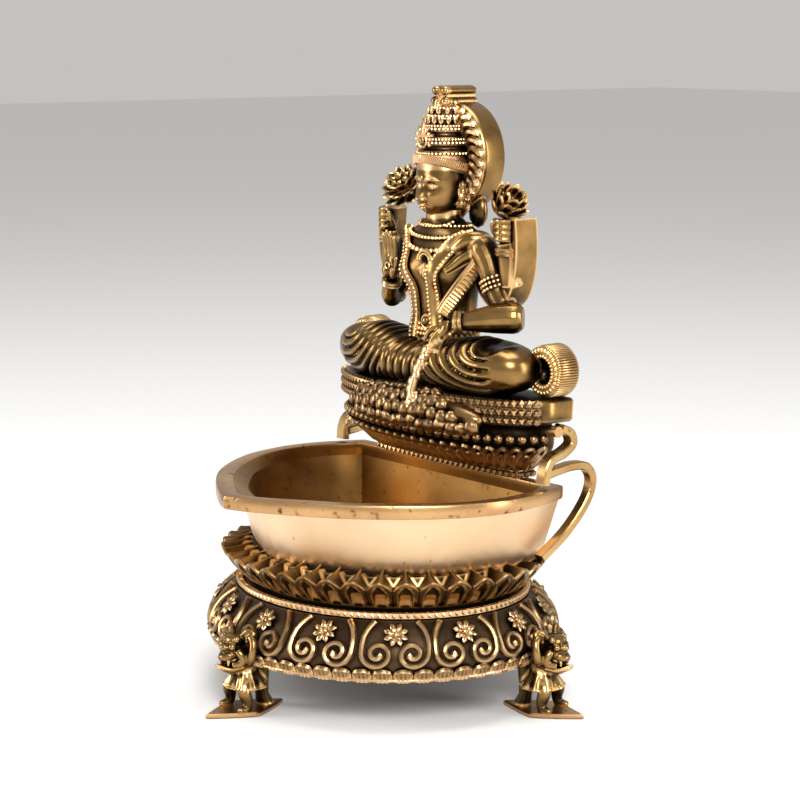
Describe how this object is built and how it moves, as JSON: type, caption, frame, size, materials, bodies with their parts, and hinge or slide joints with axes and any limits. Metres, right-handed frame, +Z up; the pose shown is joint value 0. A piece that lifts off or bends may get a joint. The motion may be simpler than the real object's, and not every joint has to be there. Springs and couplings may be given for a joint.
{
  "type": "oil lamp",
  "caption": "Cast brass oil lamp: leaf-shaped oil bowl on a lotus collar and footed base, with a seated four-armed goddess on a lotus pedestal behind the bowl.",
  "frame": {"origin": "bottom centre of the whole lamp's box, on the surface that it stands on", "axes": "+Z up, -Y towards the spout, +X towards the figure's left hand"},
  "size_m": [0.1236, 0.1064, 0.165],
  "materials": {
    "antique_brass": "antique, dark patina in the hollows, polished high points",
    "bowl_brass": "brushed bright brass with light staining",
    "rim_brass": "worn polished brass, slightly coppery"
  },
  "bodies": {
    "root": {"base_skirt": "antique_brass", "blessing_arm": "antique_brass", "coin_heap": "antique_brass", "coin_stream": "antique_brass", "crossed_legs": "antique_brass", "crown": "antique_brass", "front_foot_plate": "antique_brass", "front_lion_foot": "antique_brass", "giving_arm": "antique_brass", "halo": "antique_brass", "halo_finial": "antique_brass", "halo_petals": "antique_brass", "head": "antique_brass", "left_bolster": "antique_brass", "left_earring": "antique_brass", "left_foot_plate": "antique_brass", "left_handle": "bowl_brass", "left_lion_foot": "antique_brass", "left_lotus": "antique_brass", "left_rear_arm": "antique_brass", "left_scroll_bracket": "antique_brass", "lotus_collar": "antique_brass", "lower_bead_row": "antique_brass", "neck_flange": "bowl_brass", "necklace": "antique_brass", "oil_bowl": "bowl_brass", "pedestal_bead_row": "antique_brass", "pedestal_core": "antique_brass", "pedestal_petals": "antique_brass", "right_bolster": "antique_brass", "right_earring": "antique_brass", "right_foot_plate": "antique_brass", "right_handle": "bowl_brass", "right_lion_foot": "antique_brass", "right_lotus": "antique_brass", "right_rear_arm": "antique_brass", "right_scroll_bracket": "antique_brass", "rim_band": "rim_brass", "rope_ring": "antique_brass", "seat_bead_rows": "antique_brass", "seat_platform": "antique_brass", "skirt_border": "antique_brass", "skirt_rosettes": "antique_brass", "skirt_scrolls": "antique_brass", "torso": "antique_brass"}
  },
  "joints": []
}
